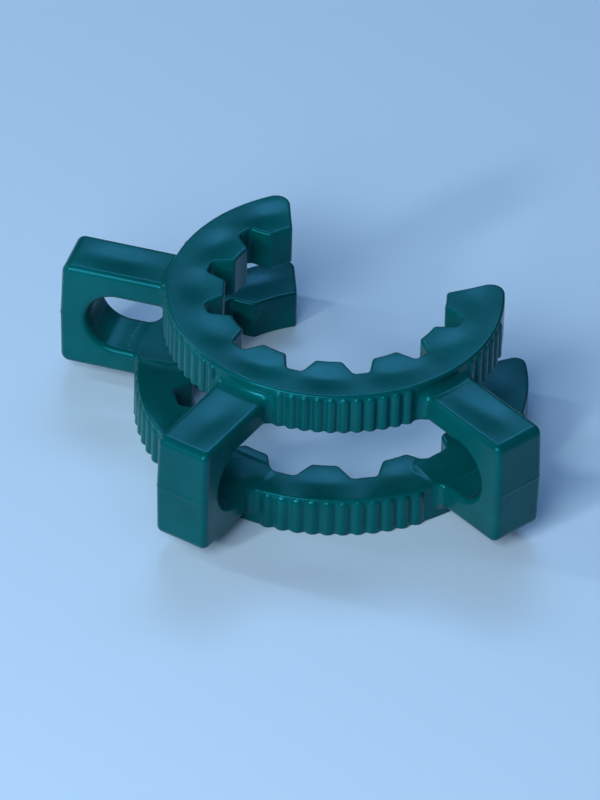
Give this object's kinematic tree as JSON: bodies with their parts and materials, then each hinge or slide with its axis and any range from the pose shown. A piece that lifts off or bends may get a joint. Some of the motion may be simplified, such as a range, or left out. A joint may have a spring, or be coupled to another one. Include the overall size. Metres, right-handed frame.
{
  "type": "ground glass joint clip",
  "caption": "Moulded plastic clip with a small and a large toothed collar on one axis, joined by C-shaped arms, that holds a conical ground glass joint together.",
  "frame": {"origin": "on the axis shared by both collars, at the underside of the large collar", "axes": "+Z along the collar axis, from the large collar to the small one; +Y out of the open mouth; +X across the mouth"},
  "size_m": [0.0572, 0.0428, 0.0158],
  "materials": {
    "moulded_plastic": "satin-gloss moulded acetal, teal green"
  },
  "bodies": {
    "root": {"joint_clip": "moulded_plastic"}
  },
  "joints": []
}
